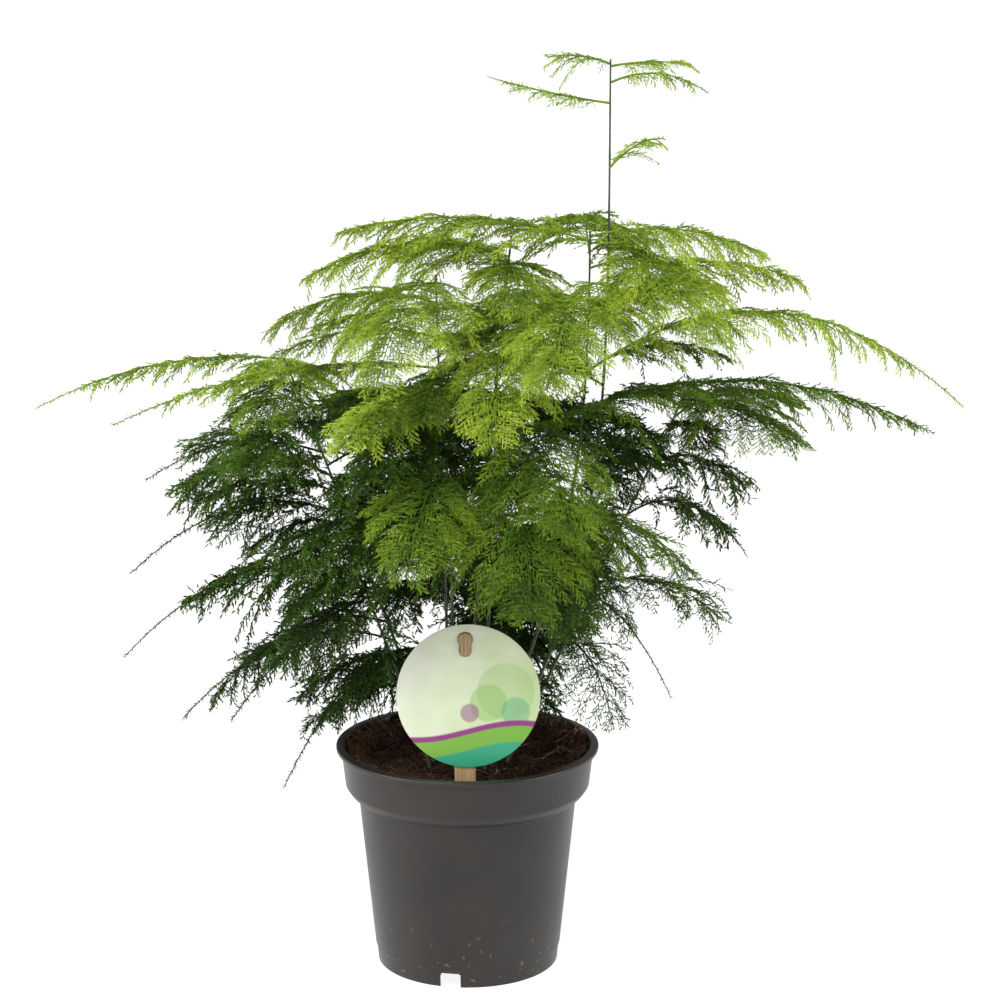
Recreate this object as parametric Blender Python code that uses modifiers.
"""A lace fern (Asparagus setaceus) growing in a round plastic nursery pot.

Wiry stems stand in the potting soil. Each carries flat, arching fronds whose leaflets are cut to the
rib. A round plant label hangs on the peg of a flat wooden stick that is pushed into the soil.
The origin is on the ground under the pot's axis, +Z up, and the label faces -Y.
"""

import math
import random

import bmesh
import bpy
from mathutils import Vector
from mathutils.bvhtree import BVHTree
from mathutils.geometry import delaunay_2d_cdt

MM = 0.001
GAP = 0.3 * MM  # between pieces that rest on or in each other

# The pot.
RIM_RADIUS = 60 * MM
POT_HEIGHT = 103 * MM
LIP_DEPTH = 2 * MM
COLLAR_TOP_RADIUS = 57.6 * MM
COLLAR_FOOT_RADIUS = 55.8 * MM
COLLAR_FOOT = 84.5 * MM
BODY_TOP_RADIUS = 49.8 * MM
BODY_TOP = 78.5 * MM
BODY_FOOT_RADIUS = 42.6 * MM
FOOT_STEP = 8 * MM
FOOT_TOP_RADIUS = 42.1 * MM
FOOT_RADIUS = 41.4 * MM
WALL = 1.4 * MM
FLOOR_UNDERSIDE = 5 * MM
FLOOR_TOP = FLOOR_UNDERSIDE + WALL
CENTRE_FOOT_RADIUS = 12 * MM
POT_SIDES = 36
NOTCH_WIDTH = 9.4 * MM
NOTCH_HEIGHT = 7.2 * MM
NOTCH_DIRECTIONS = (-100.5, 19.5, 139.5)  # degrees round the pot

# The soil.
SOIL_TOP = 93 * MM
SOIL_EDGE_TOP = 100 * MM  # at the back
SOIL_RINGS = 5
SOIL_RELIEF = 1.6 * MM

# The label and its stick, in a frame that leans back from the point where the stick enters the soil.
STICK_X = -0.6 * MM
STICK_Y = -38 * MM
STICK_LEAN = 8  # degrees
STICK_WIDTH = 9.4 * MM
STICK_THICKNESS = 2 * MM
STICK_BURIED = 35 * MM
STICK_TOP = 73.6 * MM
LABEL_RADIUS = 32 * MM
LABEL_THICKNESS = 0.8 * MM
LABEL_CENTRE = (1.4 * MM, 42.4 * MM)
KEYHOLE_CENTRE = 67.6 * MM
KEYHOLE_HEAD_RADIUS = 3.4 * MM
KEYHOLE_NECK_RADIUS = 2.7 * MM
KEYHOLE_NECK_DROP = 5 * MM
PEG_PROUD = 1 * MM

# The stems.
STEM_RADIUS = 0.95 * MM
STEM_TIP_SHARE = 0.7
STEM_DEPTH = 18 * MM
STEM_STEPS = 9

# The fronds.
BLADE = 0.7 * MM
RIB_ROOT = 0.62 * MM
RIB_TIP = 0.36 * MM
BARE_SHARE = 0.07
LEAFLET_SPACING = 10.4 * MM
SHORTEST_LEAFLET = 3 * MM
TAIL_REACH = 3 * MM
SIDE_DROP = 0.24
PATH_STEPS = 40
STEM_CLEARANCE = 4 * MM
LEAFLET_STEPS = 12

# base x, y; top x, y, z in millimetres; bend (above 0 it leans out late, below 0 early)
STEMS = {
    "stem_tall": (12, 5, 63, 2, 413, -4.0),
    "stem_centre": (5, 0, 54, -16, 340, -2.6),
    "stem_left_upright": (-8, -4, -13, -22, 322, 1.2),
    "stem_mid": (0, 9, 20, 20, 333, 1.3),
    "stem_left": (-15, 3, -82, 10, 280, 1.1),
    "stem_right": (18, 0, 98, 14, 262, 1.0),
    "stem_front_left": (-6, -12, -8, -54, 247, 2.4),
    "stem_front_right": (8, -11, 24, -46, 272, 2.4),
    "stem_low_left": (-17, -8, -66, -14, 232, 1.1),
    "stem_back": (6, 18, 14, 64, 252, 1.3),
}

# stem, height on it; tip x, y, z; arch; half width, all in millimetres; foliage age
FRONDS = {
    "frond_crown_right": ("stem_tall", 410, (97, -14, 412), 3, 14, "young"),
    "frond_crown_left": ("stem_tall", 411, (36, 14, 413), 4, 14, "young"),
    "frond_crown_right_low": ("stem_tall", 403, (106, 6, 398), 12, 8, "young"),
    "frond_crown_left_low": ("stem_tall", 394, (10, -6, 406), -2, 8, "young"),
    "frond_crown_front": ("stem_tall", 366, (86, -24, 381), 8, 11, "young"),
    "frond_top_right": ("stem_centre", 338, (130, -24, 331), 14, 36, "young"),
    "frond_top_left": ("stem_centre", 336, (-57, 18, 335), 17, 41, "young"),
    "frond_top_back": ("stem_centre", 330, (52, 96, 330), 16, 41, "young"),
    "frond_top_front": ("stem_centre", 310, (34, -112, 288), 26, 41, "young"),
    "frond_high_left": ("stem_mid", 324, (-72, -4, 317), 22, 38, "young"),
    "frond_high_front": ("stem_mid", 321, (24, -74, 313), 14, 28, "young"),
    "frond_high_back": ("stem_mid", 316, (-34, 100, 316), 20, 41, "young"),
    "frond_upper_left": ("stem_left_upright", 309, (-84, -34, 300), 20, 36, "young"),
    "frond_upper_front": ("stem_left_upright", 318, (-36, -116, 290), 26, 36, "young"),
    "frond_high_right": ("stem_tall", 317, (150, 22, 313), 16, 34, "young"),
    "frond_high_front_right": ("stem_tall", 331, (106, -84, 303), 20, 34, "young"),
    "frond_high_back_right": ("stem_tall", 303, (116, 88, 298), 20, 41, "young"),
    "frond_right_long": ("stem_centre", 278, (217, -26, 265), 68, 30, "young"),
    "frond_right_long_low": ("stem_front_right", 251, (203, -36, 255), 50, 32, "mid"),
    "frond_left_long": ("stem_left", 279, (-198, 40, 251), 18, 15, "young"),
    "frond_left_long_low": ("stem_left_upright", 280, (-154, -30, 257), 22, 22, "young"),
    "frond_left_mid": ("stem_left", 264, (-94, 88, 262), 14, 36, "young"),
    "frond_left_front": ("stem_left", 250, (-94, -74, 246), 14, 36, "old"),
    "frond_front_mid": ("stem_mid", 290, (14, -108, 264), 26, 41, "young"),
    "frond_front_left_mid": ("stem_left_upright", 268, (-52, -84, 258), 18, 32, "young"),
    "frond_right_mid": ("stem_right", 260, (143, -50, 252), 10, 36, "mid"),
    "frond_right_back": ("stem_right", 252, (150, 74, 246), 20, 41, "mid"),
    "frond_front_high": ("stem_front_right", 261, (46, -124, 230), 22, 40, "mid"),
    "frond_front_broad": ("stem_front_right", 236, (28, -134, 198), 30, 49, "mid"),
    "frond_front_left": ("stem_front_left", 240, (-24, -122, 212), 22, 36, "mid"),
    "frond_front_right": ("stem_front_right", 214, (96, -84, 203), 28, 41, "mid"),
    "frond_dark_left_top": ("stem_left", 237, (-141, -22, 231), 20, 46, "old"),
    "frond_dark_left_back": ("stem_left", 226, (-136, 70, 204), 26, 46, "old"),
    "frond_dark_left_mid": ("stem_left", 208, (-152, 4, 182), 34, 46, "old"),
    "frond_dark_left_front": ("stem_front_left", 210, (-102, -58, 185), 28, 41, "old"),
    "frond_low_left": ("stem_left", 178, (-159, 22, 137), 44, 44, "old"),
    "frond_low_left_front": ("stem_left_upright", 176, (-100, -80, 138), 40, 38, "old"),
    "frond_lowest_left": ("stem_left", 150, (-130, 0, 114), 36, 36, "old"),
    "frond_drooping_left": ("stem_left_upright", 146, (-82, -28, 91), 50, 22, "old"),
    "frond_dark_right_top": ("stem_right", 232, (124, 0, 224), 14, 36, "old"),
    "frond_dark_right": ("stem_right", 208, (129, 26, 184), 30, 36, "old"),
    "frond_low_right": ("stem_right", 176, (114, -24, 168), 18, 33, "old"),
    "frond_drooping_right": ("stem_centre", 172, (90, -46, 138), 40, 24, "old"),
    "frond_low_front_right": ("stem_right", 150, (66, -46, 124), 20, 24, "old"),
    "frond_back_high": ("stem_mid", 290, (40, 138, 262), 26, 44, "mid"),
    "frond_back_left": ("stem_left_upright", 254, (-62, 132, 232), 26, 44, "mid"),
}

# The share of a frond's length that is a thin tail with short leaflets.
TAILS = {
    "frond_left_long": 0.15,
    "frond_left_long_low": 0.15,
    "frond_right_long": 0.15,
    "frond_dark_left_top": 0.3,
    "frond_dark_left_mid": 0.42,
    "frond_dark_left_front": 0.3,
    "frond_low_left": 0.32,
    "frond_low_left_front": 0.25,
    "frond_lowest_left": 0.38,
    "frond_drooping_left": 0.35,
    "frond_dark_right": 0.2,
    "frond_drooping_right": 0.42,
}

# How far the plant reaches: height; left, right, front and back of the pot's axis, in millimetres.
REACHES = (
    (95, 86, 54, 52, 80),
    (130, 124, 60, 84, 112),
    (180, 142, 82, 116, 136),
    (230, 140, 112, 122, 140),
    (280, 106, 128, 116, 130),
    (335, 74, 118, 84, 98),
)

# The inner fronds, each one body with its stem.
INNER_LOWEST = 118
INNER_HIGHEST = 330
INNER_STEP = (4, 8)
INNER_TRIES = 60
FILL_TRIES = 1500
INNER_SPACING = 20 * MM
SHELL_STEPS = 16
SHELL_HALF = 1.0 * MM
CLEAR_STEPS = 36

COLOURS = {
    "pot": (0.075, 0.068, 0.062),
    "soil": (0.055, 0.028, 0.016),
    "wood": (0.56, 0.38, 0.21),
    "label": (0.66, 0.80, 0.50),
    "stem": (0.10, 0.17, 0.06),
    "young": (0.27, 0.43, 0.05),
    "mid": (0.13, 0.30, 0.04),
    "old": (0.05, 0.15, 0.03),
}
ROUGHNESS = {"pot": 0.42, "soil": 0.95, "wood": 0.7, "label": 0.35}
LEAF_ROUGHNESS = 0.6


def clear_scene():
    for obj in list(bpy.data.objects):
        bpy.data.objects.remove(obj)


def collection(name):
    made = bpy.data.collections.new(name)
    bpy.context.scene.collection.children.link(made)
    return made


def material(name):
    made = bpy.data.materials.get(name)
    if made:
        return made
    made = bpy.data.materials.new(name)
    made.use_nodes = True
    shader = made.node_tree.nodes["Principled BSDF"]
    shader.inputs["Base Color"].default_value = (*COLOURS[name], 1)
    shader.inputs["Roughness"].default_value = ROUGHNESS.get(name, LEAF_ROUGHNESS)
    shader.inputs["Metallic"].default_value = 0
    return made


def add_object(name, data, group, finish=None):
    made = bpy.data.objects.new(name, data)
    group.objects.link(made)
    if finish:
        data.materials.append(material(finish))
    return made


def add_cutter(name, data):
    made = add_object(name, data, cutters)
    made.hide_render = True
    made.display_type = "WIRE"
    return made


def combine(obj, other, operation):
    boolean = obj.modifiers.new(other.name, "BOOLEAN")
    boolean.operation = operation
    boolean.solver = "EXACT"
    boolean.object = other


def turned(name, profile, sides):
    """A mesh turned round Z from a profile of (radius, height) that ends on the axis at both ends."""
    mesh = bpy.data.meshes.new(name)
    points = [(radius, 0, height) for radius, height in profile]
    mesh.from_pydata(points, [(i, i + 1) for i in range(len(points) - 1)], [])
    source = bpy.data.objects.new(name + "_profile", mesh)
    cutters.objects.link(source)
    screw = source.modifiers.new("turn", "SCREW")
    screw.steps = sides
    screw.render_steps = sides
    screw.use_merge_vertices = True
    screw.merge_threshold = 0.01 * MM
    bpy.context.view_layer.update()
    graph = bpy.context.evaluated_depsgraph_get()
    made = bpy.data.meshes.new_from_object(source.evaluated_get(graph))
    bpy.data.objects.remove(source)
    made.name = name
    return made


def solid_mesh(name, curve):
    """A bevelled curve as a mesh whose caps are welded to its sides."""
    source = bpy.data.objects.new(name + "_curve", curve)
    cutters.objects.link(source)
    bpy.context.view_layer.update()
    graph = bpy.context.evaluated_depsgraph_get()
    made = bpy.data.meshes.new_from_object(source.evaluated_get(graph))
    bpy.data.objects.remove(source)
    made.name = name
    bm = bmesh.new()
    bm.from_mesh(made)
    bmesh.ops.remove_doubles(bm, verts=bm.verts, dist=0.01 * MM)
    bm.to_mesh(made)
    bm.free()
    return made


def extruded(name, outline, low, high):
    """A closed (x, z) outline as a solid between two depths along Y."""
    bm = bmesh.new()
    face = bm.faces.new([bm.verts.new((x, low, z)) for x, z in outline])
    grown = bmesh.ops.extrude_face_region(bm, geom=[face])
    moved = [item for item in grown["geom"] if isinstance(item, bmesh.types.BMVert)]
    bmesh.ops.translate(bm, verts=moved, vec=(0, high - low, 0))
    bmesh.ops.recalc_face_normals(bm, faces=bm.faces)
    made = bpy.data.meshes.new(name)
    bm.to_mesh(made)
    bm.free()
    return made


def arc(centre_x, centre_z, radius, start, end, steps):
    """Points along a circular arc in the XZ plane, angles in degrees."""
    points = []
    for i in range(steps + 1):
        angle = math.radians(start + (end - start) * i / steps)
        points.append((centre_x + radius * math.cos(angle), centre_z + radius * math.sin(angle)))
    return points


def pot_outside():
    """The pot's outer profile, rim to foot, as (radius, height)."""
    return [
        (RIM_RADIUS, POT_HEIGHT),
        (RIM_RADIUS, POT_HEIGHT - LIP_DEPTH),
        (COLLAR_TOP_RADIUS, POT_HEIGHT - 1.6 * LIP_DEPTH),
        (COLLAR_FOOT_RADIUS, COLLAR_FOOT),
        (COLLAR_FOOT_RADIUS - 2 * MM, COLLAR_FOOT - 3 * MM),
        (BODY_TOP_RADIUS, BODY_TOP),
        (BODY_FOOT_RADIUS, FOOT_STEP),
        (FOOT_TOP_RADIUS, FOOT_STEP),
        (FOOT_RADIUS, 0),
    ]


def pot_inside():
    """The pot's inner profile, floor to rim, as (radius, height)."""
    return [
        (BODY_FOOT_RADIUS - WALL, FLOOR_TOP),
        (BODY_TOP_RADIUS - WALL, BODY_TOP),
        (COLLAR_FOOT_RADIUS - 2 * MM - WALL, COLLAR_FOOT - 1 * MM),
        (COLLAR_TOP_RADIUS - WALL, POT_HEIGHT),
    ]


def add_pot():
    underside = [
        (FOOT_RADIUS - WALL, 0),
        (FOOT_TOP_RADIUS - WALL, FLOOR_UNDERSIDE),
        (CENTRE_FOOT_RADIUS + 3 * MM, FLOOR_UNDERSIDE),
        (CENTRE_FOOT_RADIUS, 0),
        (0, 0),
    ]
    profile = [(0, FLOOR_TOP)] + pot_inside() + pot_outside() + underside
    pot = add_object("pot", turned("pot", profile, POT_SIDES), parts, "pot")
    for i, direction in enumerate(NOTCH_DIRECTIONS):
        bm = bmesh.new()
        bmesh.ops.create_cube(bm, size=1)
        bmesh.ops.scale(bm, vec=(12 * MM, NOTCH_WIDTH, 2 * NOTCH_HEIGHT), verts=bm.verts)
        mesh = bpy.data.meshes.new("notch_cutter")
        bm.to_mesh(mesh)
        bm.free()
        cutter = add_cutter(f"notch_cutter_{i}", mesh)
        angle = math.radians(direction)
        cutter.location = (FOOT_RADIUS * math.cos(angle), FOOT_RADIUS * math.sin(angle), 0)
        cutter.rotation_euler = (0, 0, angle)
        combine(pot, cutter, "DIFFERENCE")


def soil_height(x, y):
    """The uneven top of the soil, banked up towards the wall at the back and sides."""
    radius = math.hypot(x, y) / COLLAR_TOP_RADIUS
    bank = (SOIL_EDGE_TOP - SOIL_TOP) * radius**2 * (0.5 + 0.5 * y / COLLAR_TOP_RADIUS)
    bumps = math.sin(x / MM * 0.31 + 1.3) * math.sin(y / MM * 0.27 + 0.4)
    bumps += 0.5 * math.sin((x - y) / MM * 0.19)
    return SOIL_TOP + bank + SOIL_RELIEF * 0.6 * bumps


def add_soil():
    inside = pot_inside()
    wall = [(radius - GAP, height) for radius, height in inside[:3]]
    wall[0] = (inside[0][0] - GAP, inside[0][1] + GAP)
    (low_radius, low), (high_radius, high) = inside[2], inside[3]
    lowest_edge = SOIL_TOP - SOIL_RELIEF
    edge = low_radius + (high_radius - low_radius) * (lowest_edge - low) / (high - low) - GAP
    top = [(edge * i / SOIL_RINGS, SOIL_EDGE_TOP) for i in range(SOIL_RINGS + 1)]
    profile = top + wall[::-1] + [(0, FLOOR_TOP + GAP)]
    mesh = turned("soil", profile, POT_SIDES)
    for vertex in mesh.vertices:
        if vertex.co.z > SOIL_EDGE_TOP - 0.1 * MM:
            vertex.co.z = soil_height(vertex.co.x, vertex.co.y)
    soil = add_object("soil", mesh, parts, "soil")
    for name in STEMS:
        bm = bmesh.new()
        radius = STEM_RADIUS + GAP
        bmesh.ops.create_cone(
            bm, segments=8, radius1=radius, radius2=radius, depth=2 * (STEM_DEPTH + GAP), cap_ends=True
        )
        mesh = bpy.data.meshes.new(name + "_hole")
        bm.to_mesh(mesh)
        bm.free()
        hole = add_cutter(name + "_hole", mesh)
        hole.location = stem_point(name, SOIL_TOP)
        combine(soil, hole, "DIFFERENCE")
    half = STICK_WIDTH / 2 + GAP
    slot = [(-half, -STICK_BURIED - GAP), (half, -STICK_BURIED - GAP), (half, 20 * MM), (-half, 20 * MM)]
    mesh = extruded("stick_slot", slot, -STICK_THICKNESS / 2 - GAP, STICK_THICKNESS / 2 + GAP)
    cutter = add_cutter("stick_slot", mesh)
    cutter.parent = label_stand
    combine(soil, cutter, "DIFFERENCE")


def keyhole(margin):
    """The label's keyhole outline, wide head above a narrow neck, shrunk by a margin."""
    head = KEYHOLE_HEAD_RADIUS - margin
    neck = KEYHOLE_NECK_RADIUS - margin
    low = KEYHOLE_CENTRE - KEYHOLE_NECK_DROP
    return arc(0, KEYHOLE_CENTRE, head, -40, 220, 8) + arc(0, low, neck, 180, 360, 5)


def add_label():
    front = -STICK_THICKNESS / 2 - GAP
    centre_x, centre_z = LABEL_CENTRE
    disc = arc(centre_x, centre_z, LABEL_RADIUS, 0, 360, 44)[:-1]
    mesh = extruded("label", disc, front - LABEL_THICKNESS, front)
    label = add_object("label", mesh, parts, "label")
    label.parent = label_stand
    hole = add_cutter("keyhole_cutter", extruded("keyhole_cutter", keyhole(0), -8 * MM, 8 * MM))
    hole.parent = label_stand
    combine(label, hole, "DIFFERENCE")


def add_stick():
    half = STICK_WIDTH / 2
    outline = arc(0, STICK_TOP - half, half, 0, 180, 8) + arc(0, half - STICK_BURIED, half, 180, 360, 8)
    board = extruded("label_stick", outline, -STICK_THICKNESS / 2, STICK_THICKNESS / 2)
    stick = add_object("label_stick", board, parts, "wood")
    stick.parent = label_stand
    proud = -STICK_THICKNESS / 2 - GAP - LABEL_THICKNESS - PEG_PROUD
    peg = add_cutter("peg", extruded("peg", keyhole(GAP), proud, 0))
    peg.parent = label_stand
    combine(stick, peg, "UNION")


def stem_point(name, height):
    """The centre of a stem at a height; below the soil's top it goes straight down."""
    base_x, base_y, top_x, top_y, top_z, bend = STEMS[name]
    share = min(max((height - SOIL_TOP) / (top_z * MM - SOIL_TOP), 0), 1)
    out = share**bend if bend > 0 else 1 - (1 - share) ** -bend
    return Vector((base_x + (top_x - base_x) * out, base_y + (top_y - base_y) * out, height / MM)) * MM


def add_stem(name):
    top = STEMS[name][4] * MM
    heights = [SOIL_TOP - STEM_DEPTH]
    heights += [SOIL_TOP + (top - SOIL_TOP) * i / STEM_STEPS for i in range(STEM_STEPS + 1)]
    curve = bpy.data.curves.new(name, "CURVE")
    curve.dimensions = "3D"
    curve.bevel_depth = STEM_RADIUS
    curve.bevel_resolution = 1
    curve.use_fill_caps = True
    spline = curve.splines.new("POLY")
    spline.points.add(len(heights) - 1)
    for i, height in enumerate(heights):
        spline.points[i].co = (*stem_point(name, height), 1)
        spline.points[i].radius = 1 - (1 - STEM_TIP_SHARE) * i / len(heights)
    stem = add_object(name, solid_mesh(name, curve), parts, "stem")
    for i, (height, tip, arch, half_width) in enumerate(inner[name]):
        frond = Frond(name, height, tip, arch, half_width, 0, 0)
        frond.spacing = INNER_SPACING
        combine(stem, add_blade(f"{name}_blade_{i}", frond, cutters), "UNION")


class Frond:
    """A frond's arching rib and the flat frame along it."""

    def __init__(self, stem, height, tip, arch, half_width, offset, tail):
        self.half_width = half_width * MM
        self.leafy = 1 - tail
        self.spacing = LEAFLET_SPACING
        axis = stem_point(stem, height * MM)
        tip = Vector(tip) * MM
        outward = Vector((tip.x - axis.x, tip.y - axis.y, 0)).normalized()
        self.side = Vector((-outward.y, outward.x, 0))
        root = axis + outward * offset
        control = root.lerp(tip, 0.5) + Vector((0, 0, arch * MM))
        self.points = []
        for i in range(PATH_STEPS + 1):
            t = i / PATH_STEPS
            self.points.append(root * (1 - t) ** 2 + control * 2 * t * (1 - t) + tip * t**2)
        self.lengths = [0]
        for a, b in zip(self.points, self.points[1:]):
            self.lengths.append(self.lengths[-1] + (b - a).length)
        self.length = self.lengths[-1]

    def at(self, along, across, lift=0):
        """The place some way along the rib, to its left and over it; the blade's sides hang a little."""
        along = min(max(along, 0), self.length)
        i = min(sum(length < along for length in self.lengths[1:]), PATH_STEPS - 1)
        share = (along - self.lengths[i]) / (self.lengths[i + 1] - self.lengths[i])
        a, b = self.points[i], self.points[i + 1]
        up = (b - a).normalized().cross(self.side)
        drop = SIDE_DROP * across**2 / max(self.half_width, 10 * MM)
        return a.lerp(b, share) + self.side * across + up * (lift - drop)

    def reach(self, along):
        """How far the leaflets reach from the rib, at a distance along it."""
        share = max(along / self.length - BARE_SHARE, 0) / (1 - BARE_SHARE)
        taper = max(1 - share / self.leafy, 0) ** 0.85
        return self.half_width * min(1, (share / 0.14) ** 0.6) * taper + TAIL_REACH

    def rib(self, along):
        return RIB_ROOT + (RIB_TIP - RIB_ROOT) * along / self.length

    def leaflet(self, along, side):
        """One leaflet's outline: the notch at the rib before it, and its tip where it isn't too short."""
        lean = math.radians(64 - 22 * along / self.length)
        length = self.clear_length(along, side, lean, self.reach(along) / math.sin(lean))
        root = side * self.rib(along)
        notch = (along - 0.5 * self.spacing, root)
        if length < SHORTEST_LEAFLET:
            return [notch]
        return [notch, (along + length * math.cos(lean), root + side * length * math.sin(lean))]

    def clear_length(self, along, side, lean, length):
        """The leaflet's length, shortened where it would touch a stem."""
        while length >= SHORTEST_LEAFLET and self.meets_stem(along, side, lean, length):
            length *= 0.75
        return length

    def meets_stem(self, along, side, lean, length):
        for i in range(1, LEAFLET_STEPS + 1):
            share = i / LEAFLET_STEPS
            for edge in (-0.5, 0, 0.5):
                place = along + edge * self.spacing * (1 - share) + share * length * math.cos(lean)
                point = self.at(place, side * share * length * math.sin(lean))
                for name in STEMS:
                    if point.z > STEMS[name][4] * MM + 2 * MM:
                        continue
                    if (stem_point(name, point.z) - point).length < STEM_CLEARANCE:
                        return True
        return False

    def outline(self):
        """The whole blade's outline: up its left edge, round the tip and back down its right edge."""
        first = self.length * BARE_SHARE + 0.5 * self.spacing
        edges = []
        for side, shift in ((1, 0), (-1, 0.5)):
            edge = [(0, side * RIB_ROOT)]
            along = first + shift * self.spacing
            while along < self.length - 0.6 * self.spacing:
                edge += self.leaflet(along, side)
                along += self.spacing
            edge.append((along - 0.5 * self.spacing, side * RIB_TIP))
            edges.append(edge)
        return edges[0] + [(self.length, 0)] + edges[1][::-1]


def add_blade(name, frond, group):
    """A thin blade: its outline is filled flat, then laid along the rib and thickened."""
    outline = [Vector(point) for point in frond.outline()[::-1]]
    filled = delaunay_2d_cdt(outline, [], [range(len(outline))], 1, 0.001 * MM)
    mesh = bpy.data.meshes.new(name)
    mesh.from_pydata([frond.at(*point) for point in filled[0]], [], filled[2])
    blade = add_cutter(name, mesh) if group == cutters else add_object(name, mesh, group)
    solidify = blade.modifiers.new("blade", "SOLIDIFY")
    solidify.thickness = BLADE
    solidify.offset = 0
    return blade


def shell(frond):
    """A coarse skin round a frond, to tell whether two fronds would cross."""
    points, faces = [], []
    for lift in (-SHELL_HALF, SHELL_HALF):
        for i in range(SHELL_STEPS + 1):
            along = frond.length * i / SHELL_STEPS
            reach = frond.reach(along) if i < SHELL_STEPS else 1 * MM
            for across in (-reach, -reach / 2, 0, reach / 2, reach):
                points.append(frond.at(along, across, lift))
    upper = 5 * (SHELL_STEPS + 1)
    for a in range(0, 5 * SHELL_STEPS, 5):
        for b in (a, a + 1, a + 2, a + 3):
            faces.append((b, b + 1, b + 6, b + 5))
            faces.append((b + upper, b + upper + 1, b + upper + 6, b + upper + 5))
        for b in (a, a + 4):
            faces.append((b, b + 5, b + 5 + upper, b + upper))
    return BVHTree.FromPolygons(points, faces)


def reaches_at(height):
    """How far the plant reaches to its left, right, front and back at a height, in millimetres."""
    height = min(max(height, REACHES[0][0]), REACHES[-1][0])
    for low, high in zip(REACHES, REACHES[1:]):
        if height <= high[0]:
            share = (height - low[0]) / (high[0] - low[0])
            return [a + (b - a) * share for a, b in zip(low[1:], high[1:])]


def share_of_reach(x, y, height):
    """How far out a point in millimetres lies: 1 is the plant's outer edge."""
    left, right, front, back = reaches_at(height)
    return math.hypot(x / (left if x < 0 else right), y / (front if y < 0 else back))


def clears_rest(frond, stem):
    """Whether a frond keeps off the label and the other stems."""
    for i in range(1, CLEAR_STEPS + 1):
        along = frond.length * i / CLEAR_STEPS
        for across in (-frond.reach(along), 0, frond.reach(along)):
            point = frond.at(along, across)
            if abs(point.x - 1 * MM) < 37 * MM and point.y < -20 * MM and point.z < 176 * MM:
                return False
            if math.hypot(point.x, point.y) < 64 * MM and point.z < 108 * MM:
                return False
        point = frond.at(along, 0)
        for name in STEMS:
            if name == stem or point.z > STEMS[name][4] * MM + 2 * MM:
                continue
            if (stem_point(name, point.z) - point).length < STEM_CLEARANCE:
                return False
    return True


def inner_fronds():
    """Fronds that fill the plant's inside: up the stems in spirals, left out where they would cross."""
    draw = random.Random(11)
    shells = []
    for name, (stem, height, tip, arch, half_width, age) in FRONDS.items():
        frond = Frond(stem, height, tip, arch, half_width, STEM_RADIUS + GAP, TAILS.get(name, 0))
        shells.append(shell(frond))
    grown = {name: [] for name in STEMS}
    places = {name: (INNER_LOWEST + draw.uniform(0, 10), draw.uniform(0, 360)) for name in STEMS}
    while places:
        for name, (height, azimuth) in list(places.items()):
            if height > min(STEMS[name][4] - 12, INNER_HIGHEST):
                del places[name]
                continue
            for attempt in range(INNER_TRIES):
                if grow_inner(name, height, azimuth, draw, shells, grown):
                    break
            places[name] = (height + draw.uniform(*INNER_STEP), azimuth + 137.5)
    for attempt in range(FILL_TRIES):
        name = draw.choice(list(STEMS))
        height = draw.uniform(INNER_LOWEST, min(STEMS[name][4] - 12, INNER_HIGHEST))
        grow_inner(name, height, draw.uniform(0, 360), draw, shells, grown)
    return grown


def grow_inner(name, height, azimuth, draw, shells, grown):
    """Adds one drawn inner frond to the grown ones, unless it would cross something."""
    row = inner_row(name, height, azimuth, draw)
    if row is None:
        return False
    frond = Frond(name, *row, 0, 0)
    skin = shell(frond)
    if not clears_rest(frond, name) or any(skin.overlap(other) for other in shells):
        return False
    shells.append(skin)
    grown[name].append(row)
    return True


def inner_row(name, height, azimuth, draw):
    """A draw of one inner frond's height, tip, arch and half width, or nothing where it has no room."""
    angle = math.radians(azimuth + draw.uniform(-60, 60))
    share = draw.uniform(0.6, 0.95)
    fall = 0.06 + 0.3 * min(max((250 - height) / 70, 0), 1) + draw.uniform(-0.06, 0.06)
    axis = stem_point(name, height * MM) / MM
    length = 30
    while length < 150:
        tip = (axis.x + length * math.cos(angle), axis.y + length * math.sin(angle), height - fall * length)
        if share_of_reach(*tip) > share:
            break
        length += 4
    if length < 38:
        return None
    return height, tip, (0.14 + 0.6 * fall) * length + 2, min(max(0.34 * length, 15), 36)


def add_frond(name):
    stem, height, tip, arch, half_width, age = FRONDS[name]
    frond = Frond(stem, height, tip, arch, half_width, STEM_RADIUS + GAP, TAILS.get(name, 0))
    add_blade(name, frond, parts).data.materials.append(material(age))


clear_scene()
parts = collection("lace_fern")
cutters = collection("cutters")
label_stand = bpy.data.objects.new("label_stand", None)
parts.objects.link(label_stand)
label_stand.location = (STICK_X, STICK_Y, SOIL_TOP)
label_stand.rotation_euler = (math.radians(-STICK_LEAN), 0, 0)
inner = inner_fronds()
add_pot()
add_soil()
add_label()
add_stick()
for stem_name in STEMS:
    add_stem(stem_name)
for frond_name in FRONDS:
    add_frond(frond_name)
